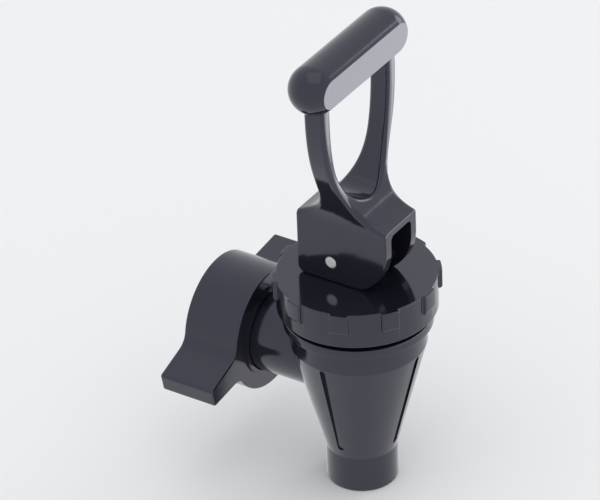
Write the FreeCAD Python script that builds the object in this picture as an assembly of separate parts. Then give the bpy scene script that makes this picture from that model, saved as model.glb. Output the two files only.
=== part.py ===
import FreeCAD, Part
import math
import os

from FreeCAD import Vector

# Drain tap for a hot water tank: lift stem, return spring, pull lever, captive wing nut.
# Millimetres. Shapes are drawn about the outlet axis with zero height at the outlet mouth,
# then moved so that the origin is the centre of the gasket face that meets the tank.

# Position of the tank face
reach = 34.2
inlet_height = 34.2

# Fits, and how far a cutter passes the face that it opens
beyond = 1.0
run_clear = 0.06
loose_clear = 0.3
slip_clear = 0.1
flat_clear = 0.05

# Two places closer than this are the same place
tiny = 0.01

# Body, one moulding
nozzle_r = 8.9
nozzle_bore_r = 6.9
nozzle_length = 9.7
nozzle_round = 0.4
cone_top_r = 16.9
cone_height = 30.3
body_wall = 2.6
collar_height = 5.8
flange_r = 18.55
flange_thick = 1.2
flange_round = 0.4
neck_r = 16.7
seat_height = 24.0
seat_rise = 1.0
seat_land = 1.2
groove_width = 1.7
groove_shallow = 0.4
groove_deep = 1.0
groove_pit_depth = 0.7
groove_from = 2.4
groove_count = 4

# Inlet tube and its sealing parts
tube_r = 10.5
tube_bore_r = 7.6
gasket_thick = 2.0
gasket_r = 11.9
ring_groove_depth = 1.2
ring_thick = 1.3
ring_r = 12.0
ring_split = 2.4

# Wing nut, female three quarter inch pipe thread with its helix left out
nut_r = 15.84
nut_past_face = 6.7
nut_length = 15.2
nut_web = 3.2
nut_lip_r = 11.9
nut_lip_rise = 0.6
nut_relief_past_face = 0.1
thread_major_r = 13.22
thread_relief_extra = 0.6
nut_turn = 12.8
nut_edge_round = 0.4
wing_tip = 27.0
wing_root_thick = 7.6
wing_tip_thick = 5.0
wing_root_fillet = 4.0
wing_corner_round = 0.7

# Bonnet cap
cap_gap = 1.8
cap_height = 10.55
cap_r = 19.85
cap_plate = 3.2
cap_edge_round = 0.35
lobe_count = 10
lobe_phase = 22.0
lobe_r = 20.75
lobe_width = 4.6
lobe_height = 5.2
lobe_round = 0.5
lobe_blend = 0.35
lobe_foot_round = 0.7

# Seal, slip ring, bush, washers and spring
slip_ring_thick = 0.7
rim_thick = 1.7
bell_wall = 1.3
bell_plug_over_seat = 0.5
bell_plug_height = 5.0
bell_belly_r = 8.9
bell_belly_height = 9.2
bell_waist_r = 8.2
bell_waist_height = 17.0
bell_shoulder_r = 12.4
bell_shoulder_drop = 4.0
foot_r = 4.1
foot_thick = 1.9
foot_floor = 1.5
foot_neck_r = 2.3
foot_neck = 1.6
bush_r = 4.6
bush_flange_r = 7.0
bush_flange_thick = 1.3
bush_sink = 0.4
washer_r = 6.4
washer_thick = 0.5
spring_r = 5.0
spring_wire = 1.2
spring_active_turns = 6.0
spring_end_turns = 1.0
spring_steps = 8

# Stem and lever pivot
stem_r = 3.0
stem_collar_r = 6.0
stem_collar_thick = 1.5
eye_r = 3.9
eye_top_rise = 1.6
pin_r = 1.7
pin_behind_axis = 2.9
pin_above_cap = 5.4
pin_end_sink = 0.15
pin_chamfer = 0.25

# Lever, one moulding
box_half = 7.1
box_front = 13.0
box_rear = 12.4
box_side_wall = 2.6
box_top_wall = 1.9
channel_round = 1.4
cam_r = 6.0
cam_forward = 4.1
nose_r = 14.0
box_top = 18.3
rear_low_round = 2.0
rear_top_drop = 0.9
flare_front_lean = Vector(0, 8.0, 1.95)
flare_front_pull = 11.5
flare_front_height = 18.35
flare_rear_lean = Vector(0, -6.0, 2.75)
flare_rear_pull = 12.5
flare_rear_height = 17.0
arm_front = 2.6
arm_rear = 3.3
arm_outer = 16.3
arm_inner = 12.9
arm_root = 16.0
arm_root_pull = 10.5
arm_straight = 52.5
arm_straight_pull = 24.0
hole_low = 23.2
hole_low_pull = 6.5
hole_straight = 50.5
hole_straight_pull = 20.0
arm_round = 1.2
box_round = 0.5
grip_r = 6.3
grip_half = 14.9
grip_above_cap = 59.15
grip_offset = 0.6
grip_facet = 5.1

# Heights above the outlet mouth that follow from the sizes above
cone_top = nozzle_length + cone_height
flange_base = cone_top + collar_height
flange_top = flange_base + flange_thick
cap_base = flange_top + cap_gap
cap_top = cap_base + cap_height
plate_base = cap_top - cap_plate
slip_base = plate_base - slip_ring_thick
neck_top = slip_base - rim_thick
chamber_floor = seat_height - seat_rise
foot_base = seat_height + foot_floor
collar_base = foot_base + foot_thick + foot_neck
collar_top = collar_base + stem_collar_thick
bush_base = plate_base - bush_flange_thick
spring_base = collar_top + washer_thick
spring_top = bush_base - washer_thick
pin_z = cap_top + pin_above_cap
lever_base = cap_top + flat_clear
grip_z = cap_top + grip_above_cap
tube_end = reach - gasket_thick
nut_back = reach + nut_past_face
nut_front = nut_back - nut_length
web_back = nut_front + nut_web
ring_front = web_back + flat_clear
cone_slope = (cone_top_r - nozzle_r) / cone_height


def cone_radius(z):
    return nozzle_r + cone_slope * (z - nozzle_length)


def upright(r, low, high):
    return Part.makeCylinder(r, high - low, Vector(0, 0, low), Vector(0, 0, 1))


def along_y(r, front, back):
    return Part.makeCylinder(r, back - front, Vector(0, front, inlet_height), Vector(0, 1, 0))


def along_x(r, half, y, z):
    return Part.makeCylinder(r, 2 * half, Vector(-half, y, z), Vector(1, 0, 0))


def block(x, y, z):
    size = (x[1] - x[0], y[1] - y[0], z[1] - z[0])
    return Part.makeBox(*size, Vector(x[0], y[0], z[0]))


def turned(outline):
    """A solid turned about the outlet axis from radius and height pairs."""
    corners = [Vector(r, 0, z) for r, z in outline]
    face = Part.Face(Part.makePolygon(corners + corners[:1]))
    return face.revolve(Vector(0, 0, 0), Vector(0, 0, 1), 360)


def bezier(*poles):
    curve = Part.BezierCurve()
    curve.setPoles(list(poles))
    return curve.toShape()


def line(a, b):
    return Part.makeLine(a, b)


def arc(a, middle, b):
    return Part.Arc(a, middle, b).toShape()


def plate(edges, start, travel):
    """A closed outline moved to its start and drawn out along the travel."""
    face = Part.Face(Part.Wire(Part.sortEdges(edges)[0]))
    face.translate(start)
    return face.extrude(travel)


def mirror_x(shape):
    return shape.mirror(Vector(0, 0, 0), Vector(1, 0, 0))


def round_edges(shape, radius, wanted):
    edges = [e for e in shape.Edges if wanted(e)]
    return shape.makeFillet(radius, edges)


def circle_at(r, z):
    """Picks the full circle of that radius and height about the outlet axis."""
    def wanted(edge):
        box = edge.BoundBox
        flat = box.ZLength < tiny and abs(box.ZMin - z) < tiny
        return flat and abs(box.XLength - 2 * r) < 2 * tiny and abs(box.YLength - 2 * r) < 2 * tiny
    return wanted


def flow_groove():
    """One round ended groove up the cone, deeper towards its top, before it is turned in place."""
    half = groove_width / 2
    low_z = nozzle_length + groove_from + half
    high_z = cone_top - half
    low = Vector(0, cone_radius(low_z) - groove_shallow, low_z)
    high = Vector(0, cone_radius(high_z) - groove_deep, high_z)
    length = (high - low).Length
    straight = block((-half, half), (0, body_wall), (0, length))
    end = Part.makeCylinder(half, body_wall, Vector(0, 0, 0), Vector(0, 1, 0))
    pit_start = Vector(0, -groove_pit_depth, length)
    pit = Part.makeCylinder(half, body_wall, pit_start, Vector(0, 1, 0))
    cutter = straight.fuse([end, end.translated(Vector(0, 0, length)), pit])
    lean = math.atan2(high.y - low.y, high.z - low.z)
    cutter.rotate(Vector(0, 0, 0), Vector(1, 0, 0), -math.degrees(lean))
    cutter.translate(low)
    return cutter


def body_shell():
    low_r = cone_radius(chamber_floor) - body_wall
    high_r = cone_top_r - body_wall
    seat_out = nozzle_bore_r + seat_land
    shell = turned([
        (nozzle_bore_r, 0), (nozzle_r, 0), (nozzle_r, nozzle_length),
        (cone_top_r, cone_top), (cone_top_r, flange_base),
        (flange_r, flange_base), (flange_r, flange_top),
        (neck_r, flange_top), (neck_r, neck_top),
        (high_r, neck_top), (high_r, cone_top),
        (low_r, chamber_floor), (seat_out, chamber_floor),
        (seat_out, seat_height), (nozzle_bore_r, seat_height),
    ])
    shell = round_edges(shell, nozzle_round, circle_at(nozzle_r, 0))
    return round_edges(shell, flange_round, circle_at(flange_r, flange_base))


def body():
    shell = body_shell()
    for k in range(groove_count):
        groove = flow_groove()
        groove.rotate(Vector(0, 0, 0), Vector(0, 0, 1), k * 360 / groove_count)
        shell = shell.cut(groove)
    tube = along_y(tube_r, 0, tube_end)
    low_r = cone_radius(chamber_floor) - body_wall
    high_r = cone_top_r - body_wall
    chamber = turned([
        (0, chamber_floor), (low_r, chamber_floor), (high_r, cone_top),
        (high_r, neck_top), (0, neck_top),
    ])
    tube = tube.cut(chamber)
    groove = along_y(tube_r + loose_clear, ring_front, ring_front + ring_thick + flat_clear)
    groove = groove.cut(along_y(tube_r - ring_groove_depth, 0, reach))
    whole = shell.fuse(tube.cut(groove))
    return whole.cut(along_y(tube_bore_r, 0, reach)).removeSplitter()


def lobed_rim():
    """The grip lobes round the top of the cap, with their corners and feet rounded."""
    low = cap_top - lobe_height
    half = lobe_width / 2
    inner = cap_r - lobe_width
    rim = upright(cap_r, low, cap_top)
    for k in range(lobe_count):
        lobe = block((inner, lobe_r), (-half, half), (low, cap_top))
        lobe.rotate(Vector(0, 0, 0), Vector(0, 0, 1), lobe_phase + k * 360 / lobe_count)
        rim = rim.fuse(lobe)
    rim = rim.removeSplitter()

    def standing(edge):
        return edge.BoundBox.ZLength > lobe_height - tiny

    def crease(edge):
        return standing(edge) and math.hypot(edge.BoundBox.Center.x, edge.BoundBox.Center.y) < lobe_r - tiny

    def corner(edge):
        return standing(edge) and math.hypot(edge.BoundBox.Center.x, edge.BoundBox.Center.y) > lobe_r
    rim = round_edges(rim, lobe_round, corner)
    rim = round_edges(rim, lobe_blend, crease)
    drum = upright(lobe_r, low, cap_top)
    return rim.common(round_edges(drum, lobe_foot_round, circle_at(lobe_r, low)))


def bonnet_cap():
    thread_r = neck_r + slip_clear
    hole_r = bush_r + run_clear
    inside = turned([
        (0, cap_base - beyond), (thread_r, cap_base - beyond), (thread_r, plate_base),
        (hole_r, plate_base), (hole_r, cap_top + beyond), (0, cap_top + beyond),
    ])
    cap = upright(cap_r, cap_base, cap_top).fuse(lobed_rim()).removeSplitter()

    def top_rim(edge):
        return edge.BoundBox.ZMin > cap_top - tiny
    return round_edges(cap, cap_edge_round, top_rim).cut(inside)


def seal_slip_ring():
    inner = bell_shoulder_r
    return upright(neck_r - slip_clear, slip_base, plate_base).cut(upright(inner, slip_base, plate_base))


def bell_seal():
    """The soft seal: clamped rim above, thin bell, thick plug that closes on the seat."""
    plug_r = nozzle_bore_r + seat_land + bell_plug_over_seat
    inner = bell_wall
    pocket_r = foot_r + slip_clear
    pocket_neck = foot_neck_r + slip_clear
    pocket_base = foot_base - flat_clear
    pocket_top = foot_base + foot_thick + flat_clear
    floor = collar_base - flat_clear
    return turned([
        (0, seat_height), (plug_r, seat_height), (plug_r, seat_height + bell_plug_height),
        (bell_belly_r, seat_height + bell_belly_height),
        (bell_waist_r, seat_height + bell_waist_height),
        (bell_shoulder_r, neck_top - bell_shoulder_drop),
        (bell_shoulder_r, neck_top), (neck_r - slip_clear, neck_top),
        (neck_r - slip_clear, slip_base), (bell_shoulder_r - inner, slip_base),
        (bell_shoulder_r - inner, neck_top - bell_shoulder_drop),
        (bell_waist_r - inner, seat_height + bell_waist_height),
        (bell_belly_r - inner, seat_height + bell_belly_height),
        (plug_r - inner, seat_height + bell_plug_height), (plug_r - inner, floor),
        (pocket_neck, floor), (pocket_neck, pocket_top), (pocket_r, pocket_top),
        (pocket_r, pocket_base), (0, pocket_base),
    ])


def stem_bush():
    bore = stem_r + run_clear
    sleeve = upright(bush_r, plate_base, cap_top - bush_sink)
    flange = upright(bush_flange_r, bush_base, plate_base)
    return sleeve.fuse(flange).cut(upright(bore, bush_base, cap_top)).removeSplitter()


def spring_washer(base):
    hole = upright(stem_r + loose_clear, base, base + washer_thick)
    return upright(washer_r, base, base + washer_thick).cut(hole)


def spring_rise(turn, low, high):
    """Height of the wire centre after that many turns, with closed coils at both ends."""
    closed = spring_end_turns * spring_wire
    pitch = (high - low - 2 * closed) / spring_active_turns
    if turn < spring_end_turns:
        return low + turn * spring_wire
    if turn > spring_end_turns + spring_active_turns:
        return high - (2 * spring_end_turns + spring_active_turns - turn) * spring_wire
    return low + closed + (turn - spring_end_turns) * pitch


def return_spring():
    wire_r = spring_wire / 2
    low = spring_base + wire_r
    high = spring_top - wire_r
    turns = 2 * spring_end_turns + spring_active_turns
    points = []
    for k in range(int(turns * spring_steps) + 1):
        turn = k / spring_steps
        angle = 2 * math.pi * turn
        rise = spring_rise(turn, low, high)
        points.append(Vector(spring_r * math.cos(angle), spring_r * math.sin(angle), rise))
    path = Part.BSplineCurve()
    path.interpolate(points)
    section = Part.Wire(Part.makeCircle(wire_r, points[0], path.tangent(path.FirstParameter)[0]))
    return Part.Wire(path.toShape()).makePipeShell([section], True, True)


def stem():
    rod = turned([
        (0, foot_base), (foot_r, foot_base), (foot_r, foot_base + foot_thick),
        (foot_neck_r, foot_base + foot_thick), (foot_neck_r, collar_base),
        (stem_collar_r, collar_base), (stem_collar_r, collar_top),
        (stem_r, collar_top), (stem_r, pin_z + eye_top_rise), (0, pin_z + eye_top_rise),
    ])
    half = box_half - box_side_wall - loose_clear
    eye = along_x(eye_r, half, pin_behind_axis, pin_z)
    low = pin_z - eye_r
    web = block((-stem_r, stem_r), (0, pin_behind_axis), (low, pin_z + eye_top_rise))
    whole = rod.fuse([eye, web])
    return whole.cut(along_x(pin_r + run_clear, half, pin_behind_axis, pin_z)).removeSplitter()


def lever_pin():
    half = box_half - pin_end_sink
    pin = along_x(pin_r, half, pin_behind_axis, pin_z)
    return pin.makeChamfer(pin_chamfer, [e for e in pin.Edges if e.BoundBox.XLength < tiny])


def lever_front_outline():
    """Half of the lever seen from the front: flat box side, then the arm leaning out to the grip."""
    base = Vector(box_half, 0, lever_base - beyond)
    root = Vector(box_half, 0, cap_top + arm_root)
    top = Vector(arm_outer, 0, cap_top + arm_straight)
    end = Vector(arm_outer, 0, grip_z)
    pull_root = root + Vector(0, 0, arm_root_pull)
    pull_top = top - Vector(0, 0, arm_straight_pull)
    half = [line(base, root), bezier(root, pull_root, pull_top, top), line(top, end)]
    other = [mirror_x(e) for e in half]
    ends = [line(base, Vector(-base.x, 0, base.z)), line(end, Vector(-end.x, 0, end.z))]
    return half + other + ends


def lever_hole_outline():
    low = Vector(0, 0, cap_top + hole_low)
    top = Vector(arm_inner, 0, cap_top + hole_straight)
    end = Vector(arm_inner, 0, grip_z + beyond)
    pull_low = low + Vector(hole_low_pull, 0, 0)
    pull_top = top - Vector(0, 0, hole_straight_pull)
    half = [bezier(low, pull_low, pull_top, top), line(top, end)]
    other = [mirror_x(e) for e in half]
    return half + other + [line(end, Vector(-end.x, 0, end.z))]


def on_circle(centre, r, towards):
    """The point of a circle in the side view that lies in the direction of another point."""
    away = towards - centre
    return centre + away * (r / away.Length)


def lever_side_outline():
    """The lever seen from the side: cam and nose under the front, flares up to the narrow arms."""
    cam = Vector(0, -cam_forward, lever_base + cam_r)
    nose_y = nose_r - box_front
    nose_rise = math.sqrt((nose_r - cam_r) ** 2 - (nose_y - cam.y) ** 2)
    nose = Vector(0, nose_y, cam.z + nose_rise)
    cam_low = Vector(0, cam.y, lever_base)
    touch = on_circle(cam, cam_r, cam * 2 - nose)
    nose_front = Vector(0, -box_front, nose.z)
    heel = Vector(0, box_rear - rear_low_round, lever_base + rear_low_round)
    heel_low = Vector(0, heel.y, lever_base)
    heel_side = Vector(0, box_rear, heel.z)
    front_top = Vector(0, -box_front, cap_top + box_top)
    rear_top = Vector(0, box_rear, cap_top + box_top - rear_top_drop)
    arm_low_front = Vector(0, -arm_front, front_top.z + flare_front_height)
    arm_low_rear = Vector(0, arm_rear, rear_top.z + flare_rear_height)
    pull_front = arm_low_front - Vector(0, 0, flare_front_pull)
    pull_rear = arm_low_rear - Vector(0, 0, flare_rear_pull)
    front_end = Vector(0, -arm_front, grip_z)
    rear_end = Vector(0, arm_rear, grip_z)
    return [
        arc(nose_front, on_circle(nose, nose_r, (nose_front + touch) * 0.5), touch),
        arc(touch, on_circle(cam, cam_r, (touch + cam_low) * 0.5), cam_low),
        line(cam_low, heel_low),
        arc(heel_low, on_circle(heel, rear_low_round, (heel_low + heel_side) * 0.5), heel_side),
        line(heel_side, rear_top),
        bezier(rear_top, rear_top + flare_rear_lean, pull_rear, arm_low_rear),
        line(arm_low_rear, rear_end), line(rear_end, front_end), line(front_end, arm_low_front),
        bezier(arm_low_front, pull_front, front_top + flare_front_lean, front_top),
        line(front_top, nose_front),
    ]


def lever_frame():
    """Box and arms before the channel is cut, with their edges rounded."""
    start = Vector(0, -box_front - beyond, 0)
    depth = Vector(0, box_front + box_rear + 2 * beyond, 0)
    half = arm_outer + beyond
    front = plate(lever_front_outline(), start, depth)
    side = plate(lever_side_outline(), Vector(-half, 0, 0), Vector(2 * half, 0, 0))
    hole = plate(lever_hole_outline(), start, depth)
    frame = front.common(side).cut(hole).removeSplitter()
    corner_z = cap_top + box_top

    def arm_edge(edge):
        box = edge.BoundBox
        level = box.ZLength < tiny
        return box.ZMax > corner_z + tiny and box.ZMin < grip_z - beyond and not level
    frame = round_edges(frame, arm_round, arm_edge)

    def box_edge(edge):
        box = edge.BoundBox
        outside = abs(box.XMin) > box_half - tiny or abs(box.XMax) > box_half - tiny
        straight = edge.Curve.TypeId == "Part::GeomLine" or box.ZMax < corner_z - rear_top_drop
        return box.ZMax < corner_z + tiny and outside and straight
    return round_edges(frame, box_round, box_edge)


def lever_channel():
    half = box_half - box_side_wall
    back = box_rear - box_side_wall
    high = cap_top + box_top - box_top_wall
    channel = block((-half, half), (-box_front - beyond, back), (lever_base - beyond, high))

    def inner_corner(edge):
        box = edge.BoundBox
        upper = box.ZMin > high - tiny
        rear = box.YMin > back - tiny
        side = abs(abs(box.Center.x) - half) < tiny
        return (upper and side) or (rear and (upper or side))
    return round_edges(channel, channel_round, inner_corner)


def lever_grip():
    bar = along_x(grip_r, grip_half, grip_offset, grip_z)
    for side in (-1, 1):
        bar = bar.fuse(Part.makeSphere(grip_r, Vector(side * grip_half, grip_offset, grip_z)))
    end = grip_half + grip_r
    flat_y = grip_offset - grip_facet
    facet = block((-end, end), (flat_y - grip_r, flat_y), (grip_z - grip_r, grip_z + grip_r))
    return bar.cut(facet).removeSplitter()


def lever():
    frame = lever_frame().cut(lever_channel())
    whole = frame.fuse(lever_grip()).removeSplitter()
    return whole.cut(along_x(pin_r, arm_outer, pin_behind_axis, pin_z))


def wing_outline():
    """One wing seen along the nut axis, from inside the ring to the flat tip."""
    root = wing_root_thick / 2
    half = wing_tip_thick / 2
    inner = nut_r - beyond
    z = inlet_height
    corners = [(inner, z - root), (inner, z + root), (wing_tip, z + half), (wing_tip, z - half)]
    points = [Vector(x, 0, height) for x, height in corners]
    return [line(a, b) for a, b in zip(points, points[1:] + points[:1])]


def wing_nut():
    ring = along_y(nut_r, nut_front, nut_back)
    wing = plate(wing_outline(), Vector(0, nut_front, 0), Vector(0, nut_length, 0))
    whole = ring.fuse([wing, mirror_x(wing)]).removeSplitter()

    def root_crease(edge):
        box = edge.BoundBox
        from_axis = math.hypot(box.Center.x, box.Center.z - inlet_height)
        return abs(box.YLength - nut_length) < tiny and from_axis < nut_r + tiny
    whole = round_edges(whole, wing_root_fillet, root_crease)

    def tip_corner(edge):
        box = edge.BoundBox
        return abs(box.YLength - nut_length) < tiny and abs(box.Center.x) > wing_tip - tiny
    whole = round_edges(whole, wing_corner_round, tip_corner)

    def end_face(edge):
        return edge.BoundBox.YLength < tiny
    whole = round_edges(whole, nut_edge_round, end_face)
    whole = whole.fuse(along_y(nut_lip_r, nut_front - nut_lip_rise, web_back))
    relief_end = reach + nut_relief_past_face
    whole = whole.cut(along_y(tube_r + loose_clear, 0, nut_back))
    whole = whole.cut(along_y(thread_major_r + thread_relief_extra, web_back, relief_end))
    whole = whole.cut(along_y(thread_major_r, web_back, nut_back)).removeSplitter()
    whole.rotate(Vector(0, 0, inlet_height), Vector(0, 1, 0), -nut_turn)
    return whole


def nut_retaining_ring():
    inner = tube_r - ring_groove_depth + flat_clear
    ring = along_y(ring_r, ring_front, ring_front + ring_thick).cut(along_y(inner, 0, reach))
    half = ring_split / 2
    gap = block((-half, half), (0, reach), (inlet_height - ring_r, inlet_height))
    return ring.cut(gap)


def inlet_gasket():
    return along_y(gasket_r, tube_end, reach).cut(along_y(tube_bore_r, tube_end, reach))


def write_part(name, shape):
    shape.translate(Vector(0, -reach, -inlet_height))
    shape.exportStep("parts/" + name + ".step")


os.makedirs("parts", exist_ok=True)
write_part("body", body())
write_part("bonnet_cap", bonnet_cap())
write_part("seal_slip_ring", seal_slip_ring())
write_part("bell_seal", bell_seal())
write_part("stem_bush", stem_bush())
write_part("upper_spring_washer", spring_washer(spring_top))
write_part("lower_spring_washer", spring_washer(collar_top))
write_part("return_spring", return_spring())
write_part("stem", stem())
write_part("lever_pin", lever_pin())
write_part("lever", lever())
write_part("wing_nut", wing_nut())
write_part("nut_retaining_ring", nut_retaining_ring())
write_part("inlet_gasket", inlet_gasket())
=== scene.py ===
import bpy
import math
from mathutils import Matrix, Vector


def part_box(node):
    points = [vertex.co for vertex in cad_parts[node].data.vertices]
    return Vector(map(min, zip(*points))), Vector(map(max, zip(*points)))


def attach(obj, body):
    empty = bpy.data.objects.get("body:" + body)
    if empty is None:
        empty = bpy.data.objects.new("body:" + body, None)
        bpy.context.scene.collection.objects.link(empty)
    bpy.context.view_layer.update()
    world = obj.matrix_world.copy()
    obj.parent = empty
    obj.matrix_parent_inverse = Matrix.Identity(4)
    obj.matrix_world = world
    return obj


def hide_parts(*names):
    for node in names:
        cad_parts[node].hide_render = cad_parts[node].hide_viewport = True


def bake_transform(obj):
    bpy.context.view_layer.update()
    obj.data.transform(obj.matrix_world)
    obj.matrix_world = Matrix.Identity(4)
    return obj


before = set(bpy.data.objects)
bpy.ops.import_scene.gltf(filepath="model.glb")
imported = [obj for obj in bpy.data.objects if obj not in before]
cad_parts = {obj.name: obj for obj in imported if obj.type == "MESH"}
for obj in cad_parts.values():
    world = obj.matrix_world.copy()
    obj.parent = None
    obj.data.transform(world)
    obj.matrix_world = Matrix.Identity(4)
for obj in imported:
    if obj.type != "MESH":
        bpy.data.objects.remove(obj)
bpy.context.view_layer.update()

MM = 0.001

# Camera, found by fitting the tap's round edges to the photograph
CAMERA_AZIMUTH = -56.2
CAMERA_ELEVATION = 33.0
CAMERA_ROLL = -2.16
CAMERA_DISTANCE = 1.297
CAMERA_TARGET = Vector((-1.4, -18.85, 26.96)) * MM
SENSOR_WIDTH = 36.0
LENS = 320.3

# Places on the tap, read from the frame
NOZZLE_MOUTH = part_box("body")[0].z
CAP_BASE, CAP_TOP = (corner.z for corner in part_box("bonnet_cap"))
TAP_AXIS_Y = (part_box("bonnet_cap")[0].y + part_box("bonnet_cap")[1].y) / 2
PIN = (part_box("lever_pin")[0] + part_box("lever_pin")[1]) / 2
SEAL_LOW, SEAL_HIGH = (corner.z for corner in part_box("bell_seal"))
SPRING_LOW, SPRING_HIGH = (corner.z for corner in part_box("return_spring"))
NUT_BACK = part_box("wing_nut")[1].y
GASKET_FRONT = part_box("inlet_gasket")[0].y

# How strongly the white surroundings light dull surfaces, and how white the floor is in a mirror
SOFT_LEVEL = 0.88
FLOOR_MIRRORED = 0.85
FLOOR_HALF = 3.0

# Lamps, in metres and watts: place, size, power. The softboxes face LIT_HEIGHT on the outlet's axis. The
# card lies on the floor, measured from that axis, and CARD_TURN is its turn about the vertical.
FRONT_RIGHT_SOFTBOX = ((1.5, -0.67, 0.62), (0.7, 0.7), 3.4)
TOP_SOFTBOX = ((-0.1, -0.1, 0.9), (0.8, 0.8), 0.8)
FLOOR_CARD = ((0.1485, -0.231, 0.002), (0.27, 0.4), 0.95)
CARD_TURN = math.atan2(-0.84, 0.54)
LIT_HEIGHT = 0.03

# Female three quarter inch pipe thread in the wing nut, in millimetres
THREAD_ROOT_R = 13.22
THREAD_CREST_R = 12.06
THREAD_PITCH = 1.814
THREAD_START = 1.0

# Screw cap and its grip lobes, in millimetres and degrees. The cap's lower edge is raised above the
# solid's, and HOLD is how far a holding ring lies from a rounded edge, so that flat faces shade flat.
CAP_RADIUS = 19.8
CAP_INSIDE = 16.8
CAP_HOLE = 4.66
CAP_PLATE = 3.2
CAP_EDGE = 0.28
HOLD = 0.04
GRIP_COUNT = 10
GRIP_TURN = 19.6
GRIP_RADIUS = 20.7
GRIP_WIDTH = 4.6
GRIP_HEIGHT = 5.2
GRIP_FOOT = 0.7
GRIP_CREASE = 0.35
GRIP_CORNER = 0.4
CAP_RAISE = 1.25

# The body's flange, in millimetres. CAP_GAP is how far it lies below the cap, and FLANGE_LAP how far the
# thicker flange over it reaches below it.
FLANGE_RADIUS = 18.58
NECK_RADIUS = 16.7
FLANGE_THICK = 1.2
FLANGE_ROUND = 0.35
FLANGE_LAP = 0.02
CAP_GAP = 1.8

# Return spring, in millimetres
WIRE_R = 0.6
COIL_R = 5.0
ACTIVE_TURNS = 6.0
CLOSED_TURNS = 1.0


class Value:
    """A number, colour or direction inside a material, so that shader sums read as plain sums."""

    def __init__(self, finish, socket):
        self.finish = finish
        self.socket = socket

    def sum_with(self, operation, *terms):
        return self.finish.node("ShaderNodeMath", {"operation": operation}, *terms)

    def __add__(self, other):
        return self.sum_with("ADD", self, other)

    __radd__ = __add__

    def __sub__(self, other):
        return self.sum_with("SUBTRACT", self, other)

    def __rsub__(self, other):
        return self.sum_with("SUBTRACT", other, self)

    def __mul__(self, other):
        return self.sum_with("MULTIPLY", self, other)

    __rmul__ = __mul__

    def __abs__(self):
        return self.sum_with("ABSOLUTE", self)

    def step(self, low, high):
        """Zero at low, one at high, smooth between them."""
        settings = {"interpolation_type": "SMOOTHSTEP"}
        return self.finish.node("ShaderNodeMapRange", settings, self, low, high, 0.0, 1.0)


class Finish:
    """One material or world. node() adds any shader node: its kind, its settings, its inputs in order."""

    def __init__(self, name, made_in=bpy.data.materials):
        self.material = made_in.new(name)
        self.material.use_nodes = True
        self.tree = self.material.node_tree
        self.skin = self.tree.nodes.get("Principled BSDF")

    def node(self, kind, settings, *values, output=0, **named):
        made = self.tree.nodes.new(kind)
        for key, value in settings.items():
            setattr(made, key, value)
        for place, value in enumerate(values):
            self.feed(made.inputs[place], value)
        for name, value in named.items():
            self.feed(made.inputs[name.replace("_", " ")], value)
        return Value(self, made.outputs[output])

    def feed(self, socket, value):
        if isinstance(value, Value):
            self.tree.links.new(value.socket, socket)
        else:
            socket.default_value = value

    def place(self, scale=(1, 1, 1)):
        """A point's place on the object, in metres, stretched by the scale."""
        place = self.node("ShaderNodeTexCoord", {}, output="Object")
        return self.node("ShaderNodeVectorMath", {"operation": "MULTIPLY"}, place, scale)

    def across(self, axis):
        """Distance along X, Y or Z from the outlet's axis, or for Z from the inlet's."""
        settings = {"operation": "SUBTRACT"}
        middle = self.node("ShaderNodeVectorMath", settings, self.place(), (0, TAP_AXIS_Y, 0))
        return self.node("ShaderNodeSeparateXYZ", {}, middle, output=axis)

    def noise(self, size, detail=2.0, scale=(1, 1, 1)):
        """Soft noise whose lumps are about size metres across."""
        return self.node("ShaderNodeTexNoise", {}, Vector=self.place(scale), Scale=1 / size, Detail=detail)

    def mix(self, factor, first, second):
        made = self.tree.nodes.new("ShaderNodeMix")
        made.data_type = "RGBA"
        self.feed(made.inputs["Factor"], factor)
        for socket, colour in ((made.inputs[6], first), (made.inputs[7], second)):
            self.feed(socket, colour if isinstance(colour, Value) else (*colour, 1.0))
        return Value(self, made.outputs[2])

    def bump(self, height, depth, under=None):
        """A bump whose full height is depth metres."""
        named = {"Height": height, "Distance": depth, "Strength": 1.0}
        if under is not None:
            named["Normal"] = under
        return self.node("ShaderNodeBump", {}, **named)

    def scratches(self, size, share):
        """Thin hairlines that cover about that share of the surface, lying several ways."""
        lines = None
        for stretch in ((1, 9, 1), (9, 1, 2), (3, 2, 12)):
            line = abs(self.noise(size, 1.0, stretch) - 0.5).step(share, 0.0)
            lines = line if lines is None else lines + line
        return lines

    def finish(self, colour, roughness, normal=None, metallic=0.0):
        self.feed(self.skin.inputs["Base Color"], colour)
        self.feed(self.skin.inputs["Roughness"], roughness)
        self.feed(self.skin.inputs["Metallic"], metallic)
        if normal is not None:
            self.feed(self.skin.inputs["Normal"], normal)
        return self.material


def black_moulding(name, gloss, worn, split=None):
    """Injection moulded black plastic: faint flow marks, orange peel, hairline scratches and dust.

    The split, X or Y, is the side from side direction that the two mould halves opened in.
    """
    f = Finish(name)
    f.skin.inputs["IOR"].default_value = 1.62
    f.skin.inputs["Specular Tint"].default_value = (0.8, 0.82, 1.0, 1)
    flow = f.noise(9 * MM, 3.0, (1, 1, 0.4))
    speck = f.noise(0.35 * MM, 2.0).step(0.72, 0.8)
    hair = f.scratches(3.5 * MM, 0.008)
    tone = f.mix(flow, (0.0085, 0.009, 0.0135), (0.0105, 0.011, 0.0165))
    colour = f.mix(speck * 0.2 * worn, tone, (0.06, 0.062, 0.068))
    peel = f.bump(f.noise(3.5 * MM, 1.0), 0.008 * MM)
    relief = f.bump(f.noise(0.22 * MM, 2.0), 0.0005 * MM, peel)
    if split:
        seam = abs(f.across(split)).step(0.09 * MM, 0.02 * MM)
        relief = f.bump(seam, 0.02 * MM, relief)
    roughness = gloss + flow * 0.03 + hair * 0.08 * worn + speck * 0.08
    return f.finish(colour, roughness, relief)


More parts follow.
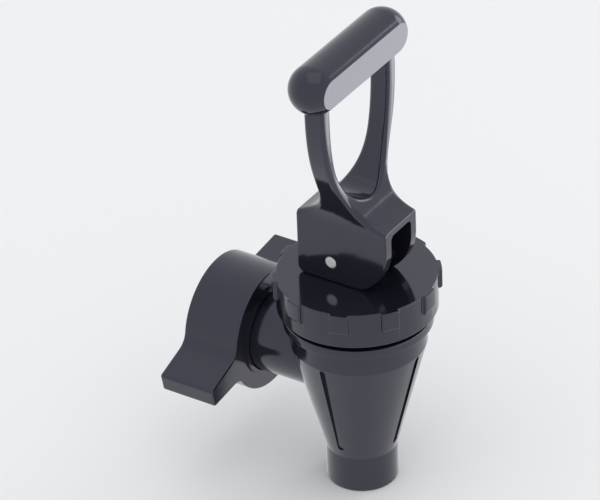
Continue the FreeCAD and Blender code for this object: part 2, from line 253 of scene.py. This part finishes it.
def drawn_steel(name, along, base, roughness):
    """Stainless steel with turning or drawing lines that run across the stretch."""
    f = Finish(name)
    lines = f.noise(0.3 * MM, 2.0, along)
    smear = f.noise(4 * MM, 3.0)
    colour = f.mix(smear, base, tuple(c * 0.86 for c in base))
    return f.finish(colour, roughness + lines * 0.12 + smear * 0.05, f.bump(lines, 0.002 * MM), 1.0)


def soft_silicone(name):
    f = Finish(name)
    cloud = f.noise(5 * MM, 3.0)
    dust = f.noise(0.4 * MM, 2.0).step(0.62, 0.75)
    colour = f.mix(cloud, (0.58, 0.56, 0.51), (0.66, 0.64, 0.6))
    f.skin.inputs["Subsurface Weight"].default_value = 0.25
    f.skin.inputs["Subsurface Radius"].default_value = (0.002, 0.0016, 0.0012)
    dusted = f.mix(dust * 0.3, colour, (0.75, 0.74, 0.72))
    return f.finish(dusted, 0.42 + dust * 0.2, f.bump(cloud, 0.01 * MM))


def white_acetal(name):
    f = Finish(name)
    cloud = f.noise(6 * MM, 2.0)
    tooling = f.noise(0.5 * MM, 2.0, (1, 1, 8))
    colour = f.mix(cloud, (0.78, 0.78, 0.74), (0.84, 0.84, 0.81))
    return f.finish(colour, 0.34 + tooling * 0.12, f.bump(tooling, 0.003 * MM))


def turning_marks(name, base, roughness, centre, axis):
    """Bright steel faced off on a lathe: fine rings round the centre line."""
    f = Finish(name)
    keep = tuple(0.0 if d == axis else 1.0 for d in "XYZ")
    away = f.node("ShaderNodeVectorMath", {"operation": "SUBTRACT"}, f.place(), tuple(centre))
    flat = f.node("ShaderNodeVectorMath", {"operation": "MULTIPLY"}, away, keep)
    radius = f.node("ShaderNodeVectorMath", {"operation": "LENGTH"}, flat, output="Value")
    rings = f.node("ShaderNodeMath", {"operation": "SINE"}, radius * (6.283 / (0.16 * MM)))
    smear = f.noise(0.9 * MM, 3.0)
    colour = f.mix(smear, base, tuple(c * 0.8 for c in base))
    return f.finish(colour, roughness + smear * 0.12, f.bump(rings, 0.004 * MM), 1.0)


def dress(node, material):
    """Gives a CAD node its material."""
    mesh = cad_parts[node].data
    mesh.materials.clear()
    mesh.materials.append(material)


def dress_all():
    dress("body", black_moulding("body_black", 0.12, 1.0, "X"))
    dress("lever", black_moulding("lever_black", 0.1, 1.0))
    dress("wing_nut", black_moulding("nut_black", 0.13, 1.0))
    dress("lever_pin", turning_marks("pin_bright", (0.96, 0.96, 0.97), 0.5, PIN, "X"))
    outlet_axis = (0, TAP_AXIS_Y, 0)
    dress("stem", turning_marks("stem_turned", (0.62, 0.62, 0.61), 0.22, outlet_axis, "Z"))
    for washer in ("upper_spring_washer", "lower_spring_washer"):
        dress(washer, turning_marks(washer + "_steel", (0.6, 0.6, 0.61), 0.28, outlet_axis, "Z"))
    for ring in ("seal_slip_ring", "stem_bush", "nut_retaining_ring"):
        dress(ring, white_acetal(ring + "_acetal"))


def piece_from(name, verts, faces, material):
    mesh = bpy.data.meshes.new(name)
    mesh.from_pydata(verts, [], faces)
    mesh.update()
    mesh.shade_smooth()
    mesh.set_sharp_from_angle(angle=math.radians(40))
    mesh.materials.append(material)
    piece = bpy.data.objects.new(name, mesh)
    bpy.context.scene.collection.objects.link(piece)
    return piece


def ring_faces(rings, size, closed=True):
    """Faces between neighbouring rings of points, and from the last ring to the first if closed."""
    faces = []
    for k in range(rings if closed else rings - 1):
        a = k * size
        b = (k + 1) % rings * size
        for i in range(size):
            j = (i + 1) % size
            faces.append((a + i, b + i, b + j, a + j))
    return faces


def softened(corners, steps=5):
    """An outline with each corner rounded by its own distance: (radius, height, round) in millimetres."""
    points = []
    for k, (r, z, size) in enumerate(corners):
        here = Vector((r, z))
        if not size:
            points.append(here)
            continue
        before = Vector(corners[k - 1][:2]) - here
        after = Vector(corners[(k + 1) % len(corners)][:2]) - here
        start = here + before.normalized() * min(size, before.length * 0.45)
        end = here + after.normalized() * min(size, after.length * 0.45)
        for i in range(steps + 1):
            t = i / steps
            points.append(start * (1 - t) ** 2 + here * 2 * t * (1 - t) + end * t ** 2)
    return points


def turned_about(outline, place, sides=96):
    """Points and faces of an outline turned once round. place(radius, height, angle) gives each point."""
    verts = []
    for k in range(sides):
        angle = 2 * math.pi * k / sides
        verts.extend(place(p.x * MM, p.y * MM, angle) for p in outline)
    return verts, ring_faces(sides, len(outline))


def round_outlet(r, height, angle):
    return (r * math.cos(angle), TAP_AXIS_Y + r * math.sin(angle), height)


def round_inlet(r, depth, angle):
    return (r * math.sin(angle), depth, r * math.cos(angle))


def grip_outline():
    """The cap seen from above, in millimetres: a circle with ten grip lobes, their corners rounded."""
    corners = []
    foot = math.asin(GRIP_WIDTH / 2 / CAP_RADIUS)
    tip = math.asin(GRIP_WIDTH / 2 / GRIP_RADIUS)
    between = 2 * math.pi / GRIP_COUNT - 2 * foot
    for k in range(GRIP_COUNT):
        turn = math.radians(GRIP_TURN) + 2 * math.pi * k / GRIP_COUNT
        path = [(CAP_RADIUS, -foot, GRIP_CREASE), (GRIP_RADIUS, -tip, GRIP_CORNER)]
        path += [(GRIP_RADIUS, tip * (i / 3 - 1), 0) for i in range(1, 6)]
        path += [(GRIP_RADIUS, tip, GRIP_CORNER), (CAP_RADIUS, foot, GRIP_CREASE)]
        path += [(CAP_RADIUS, foot + between * i / 6, 0) for i in range(1, 6)]
        corners += [(r * math.cos(turn + a), r * math.sin(turn + a), size) for r, a, size in path]
    return softened(corners)


def moulded_cap():
    """The screw cap as rings from the stem's hole over the top, down the grips, and up the inside."""
    outline = grip_outline()
    count = len(outline)
    ahead = [outline[(i + 1) % count] - outline[i - 1] for i in range(count)]
    outward = [Vector((t.y, -t.x)).normalized() for t in ahead]
    top, base = CAP_TOP / MM, CAP_BASE / MM + CAP_RAISE
    foot = top - GRIP_HEIGHT

    def level(radius, z):
        return [(*(p.normalized() * min(radius, p.length)), z) for p in outline]

    def edge(t):
        inset = CAP_EDGE * (1 - math.sin(t))
        return [(*(p - n * inset), top - CAP_EDGE * (1 - math.cos(t))) for p, n in zip(outline, outward)]

    def grip_foot(t):
        return level(GRIP_RADIUS - GRIP_FOOT * (1 - math.cos(t)), foot + GRIP_FOOT * (1 - math.sin(t)))

    def rim(t):
        return level(CAP_RADIUS - CAP_EDGE * (1 - math.cos(t)), base + CAP_EDGE * (1 - math.sin(t)))

    quarter = [math.pi / 2 * i / 5 for i in range(6)]
    flat = [(*(p - n * (CAP_EDGE + HOLD)), top) for p, n in zip(outline, outward)]
    rings = [level(CAP_HOLE, top), flat]
    rings += [edge(t) for t in quarter] + [level(GRIP_RADIUS, top - CAP_EDGE - HOLD)]
    rings += [level(GRIP_RADIUS, foot + GRIP_FOOT + HOLD)] + [grip_foot(t) for t in quarter]
    rings += [level(CAP_RADIUS, foot - HOLD), level(CAP_RADIUS, base + CAP_EDGE + HOLD)]
    rings += [rim(t) for t in quarter]
    under = top - CAP_PLATE
    rings += [level(CAP_INSIDE, base), level(CAP_INSIDE, under), level(CAP_HOLE, under)]
    verts = [(x * MM, TAP_AXIS_Y + y * MM, z * MM) for ring in rings for x, y, z in ring]
    faces = ring_faces(len(rings), count)
    cap = piece_from("moulded_cap", verts, faces, black_moulding("cap_black", 0.08, 0.5))
    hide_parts("bonnet_cap")
    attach(cap, "tap_body")


def thick_flange():
    """The flange as thick as the photograph shows it, over the solid's thinner one."""
    high = CAP_BASE / MM + CAP_RAISE - CAP_GAP
    low = CAP_BASE / MM - CAP_GAP - FLANGE_THICK - FLANGE_LAP
    outline = [(NECK_RADIUS, low, 0), (FLANGE_RADIUS, low, 0.2), (FLANGE_RADIUS, high, FLANGE_ROUND),
               (NECK_RADIUS, high, 0)]
    verts, faces = turned_about(softened(outline), round_outlet, 192)
    flange = piece_from("thick_flange", verts, faces, bpy.data.materials["body_black"])
    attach(flange, "tap_body")


def soft_bell_seal():
    """The silicone bell with moulded ribs on its belly."""
    low = SEAL_LOW / MM
    high = SEAL_HIGH / MM
    ribs = []
    for k in range(4):
        z = low + 6.2 + k * 1.5
        ribs += [(8.72, z - 0.4, 0.1), (8.95, z, 0.25), (8.72, z + 0.4, 0.1)]
    outer = [(8.6, low, 0.5), (8.6, low + 5.0, 1.0), *ribs, (8.2, low + 17.0, 2.0), (12.4, high - 5.7, 1.5),
             (12.4, high - 1.7, 0.3), (16.6, high - 1.7, 0.4), (16.6, high, 0.4)]
    inner = [(11.1, high, 0.4), (11.1, high - 5.5, 1.5), (6.9, low + 17.0, 2.0), (7.5, low + 9.2, 1.5),
             (7.3, low + 5.2, 0.6), (2.5, low + 5.05, 0.2), (2.4, low + 3.5, 0.1), (4.2, low + 3.45, 0.2),
             (4.2, low + 1.45, 0.2), (0.02, low + 1.45, 0), (0.02, low + 0.25, 0), (2.0, low + 0.25, 0.6),
             (3.2, low, 0.6)]
    verts, faces = turned_about(softened(outer + inner), round_outlet)
    seal = piece_from("bell_seal_soft", verts, faces, soft_silicone("bell_silicone"))
    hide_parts("bell_seal")
    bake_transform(seal)


def soft_inlet_gasket():
    """Flat washer with moulded edges and the shallow ring that the tank outlet has pressed in it."""
    front = GASKET_FRONT / MM
    outline = [(7.6, front, 0.25), (11.9, front, 0.25), (11.9, 0, 0.25), (11.2, 0, 0.2), (11.0, -0.12, 0.2),
               (9.2, -0.12, 0.2), (9.0, 0, 0.2), (7.6, 0, 0.25)]
    verts, faces = turned_about(softened(outline), round_inlet)
    gasket = piece_from("inlet_gasket_soft", verts, faces, soft_silicone("gasket_silicone"))
    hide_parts("inlet_gasket")
    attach(gasket, "tap_body")


def spring_height(turn):
    """Height of the wire centre: closed coils at both ends, even pitch between them."""
    low = SPRING_LOW / MM + WIRE_R
    high = SPRING_HIGH / MM - WIRE_R
    closed = CLOSED_TURNS * 2 * WIRE_R
    if turn < CLOSED_TURNS:
        return low + turn * 2 * WIRE_R
    if turn > CLOSED_TURNS + ACTIVE_TURNS:
        return high - (2 * CLOSED_TURNS + ACTIVE_TURNS - turn) * 2 * WIRE_R
    return low + closed + (turn - CLOSED_TURNS) * (high - low - 2 * closed) / ACTIVE_TURNS


def wound_return_spring():
    """The spring as a drawn wire."""
    per_turn, round_wire = 36, 14
    turns = 2 * CLOSED_TURNS + ACTIVE_TURNS
    count = int(turns * per_turn) + 1
    verts = []
    for k in range(count):
        turn = k / per_turn
        for i in range(round_wire):
            a = 2 * math.pi * i / round_wire
            r = COIL_R + WIRE_R * math.cos(a)
            z = spring_height(turn) + WIRE_R * math.sin(a)
            verts.append(round_outlet(r * MM, z * MM, 2 * math.pi * turn))
    faces = ring_faces(count, round_wire, closed=False)
    faces.append(tuple(range(round_wire)))
    faces.append(tuple(reversed(range((count - 1) * round_wire, count * round_wire))))
    steel = drawn_steel("spring_drawn", (6, 6, 6), (0.55, 0.55, 0.56), 0.26)
    spring = piece_from("return_spring_wire", verts, faces, steel)
    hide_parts("return_spring")
    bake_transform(spring)


def nut_thread():
    """Right-handed ridge of the pipe thread, which runs out smoothly at both ends."""
    per_turn = 72
    span = NUT_BACK / MM - THREAD_START - 0.9
    turns = span / THREAD_PITCH
    count = int(turns * per_turn) + 1
    section = ((0.3, -0.5), (0.06, -0.46), (-0.86, -0.12), (-1.0, 0.0),
               (-0.86, 0.12), (0.06, 0.46), (0.3, 0.5))
    depth = THREAD_ROOT_R - THREAD_CREST_R
    verts = []
    for k in range(count):
        turn = k / per_turn
        fade = min(1.0, turn * 4, (turns - turn) * 4)
        grown = max(0.02, fade * fade * (3 - 2 * fade))
        for out, along in section:
            r = THREAD_ROOT_R + (out * depth * grown if out < 0 else out)
            y = THREAD_START + turn * THREAD_PITCH + along * THREAD_PITCH * 0.94 * grown
            verts.append(round_inlet(r * MM, y * MM, 2 * math.pi * turn))
    faces = ring_faces(count, len(section), closed=False)
    faces.append(tuple(range(len(section))))
    faces.append(tuple(reversed(range((count - 1) * len(section), count * len(section)))))
    ridge = piece_from("nut_thread", verts, faces, black_moulding("thread_black", 0.2, 0.5))
    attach(ridge, "nut_body")


def set_camera():
    azimuth = math.radians(CAMERA_AZIMUTH)
    elevation = math.radians(CAMERA_ELEVATION)
    flat = math.cos(elevation)
    back = Vector((math.sin(azimuth) * flat, -math.cos(azimuth) * flat, math.sin(elevation)))
    right = Vector((math.cos(azimuth), math.sin(azimuth), 0))
    up = back.cross(right)
    roll = math.radians(CAMERA_ROLL)
    across = right * math.cos(roll) + up * math.sin(roll)
    upward = up * math.cos(roll) - right * math.sin(roll)
    camera = bpy.data.objects.new("camera", bpy.data.cameras.new("camera"))
    bpy.context.scene.collection.objects.link(camera)
    turn = Matrix((across, upward, back)).transposed().to_4x4()
    camera.matrix_world = Matrix.Translation(CAMERA_TARGET + back * CAMERA_DISTANCE) @ turn
    camera.data.sensor_width = SENSOR_WIDTH
    camera.data.lens = LENS
    camera.data.clip_start = 0.01
    bpy.context.scene.camera = camera


def area_light(name, place, aim, size, power):
    light = bpy.data.lights.new(name, "AREA")
    light.shape = "RECTANGLE"
    light.size, light.size_y = size
    light.energy = power
    lamp = bpy.data.objects.new(name, light)
    bpy.context.scene.collection.objects.link(lamp)
    lamp.location = place
    lamp.rotation_euler = (aim - place).to_track_quat("-Z", "Y").to_euler()
    return lamp


def white_studio():
    """Pale floor and surroundings. Looked at or mirrored, the surroundings are plain white."""
    studio = Finish("studio", bpy.data.worlds)
    rays = ("Is Camera Ray", "Is Glossy Ray", "Is Transmission Ray")
    camera, glossy, through = (studio.node("ShaderNodeLightPath", {}, output=ray) for ray in rays)
    surround = studio.tree.nodes["Background"]
    surround.inputs["Color"].default_value = (0.965, 0.975, 1.0, 1)
    studio.feed(surround.inputs["Strength"], SOFT_LEVEL + (camera + glossy + through) * (1 - SOFT_LEVEL))
    bpy.context.scene.world = studio.material
    mesh = bpy.data.meshes.new("floor")
    signs = ((-1, -1), (1, -1), (1, 1), (-1, 1))
    corners = [(x * FLOOR_HALF, y * FLOOR_HALF, NOZZLE_MOUTH) for x, y in signs]
    mesh.from_pydata(corners, [], [(0, 1, 2, 3)])
    floor = bpy.data.objects.new("floor", mesh)
    bpy.context.scene.collection.objects.link(floor)
    f = Finish("floor_white")
    tone = f.noise(0.4, 2.0)
    f.skin.inputs["Specular IOR Level"].default_value = 0.0
    mesh.materials.append(f.finish(f.mix(tone, (0.9, 0.905, 0.905), (0.92, 0.925, 0.925)), 0.9))
    mirrored = f.node("ShaderNodeLightPath", {}, output="Is Glossy Ray")
    white = f.node("ShaderNodeEmission", {}, (1, 1, 1, 1), 1.0)
    seen = f.node("ShaderNodeMixShader", {}, mirrored * FLOOR_MIRRORED, Value(f, f.skin.outputs[0]), white)
    f.feed(f.tree.nodes["Material Output"].inputs["Surface"], seen)


def light_tap():
    middle = Vector((0, TAP_AXIS_Y, LIT_HEIGHT))
    softboxes = {"front_right_softbox": FRONT_RIGHT_SOFTBOX, "top_softbox": TOP_SOFTBOX}
    for name, (place, size, power) in softboxes.items():
        area_light(name, Vector(place), middle, size, power)
    place, size, power = FLOOR_CARD
    card = Vector((0, TAP_AXIS_Y, NOZZLE_MOUTH)) + Vector(place)
    low_card = area_light("floor_card", card, card + Vector((0, 0, 1)), size, power)
    low_card.rotation_euler = (math.pi, 0, CARD_TURN)
    low_card.visible_camera = False


dress_all()
moulded_cap()
thick_flange()
soft_bell_seal()
soft_inlet_gasket()
wound_return_spring()
nut_thread()
set_camera()
white_studio()
light_tap()
bpy.context.scene.view_settings.view_transform = "Standard"
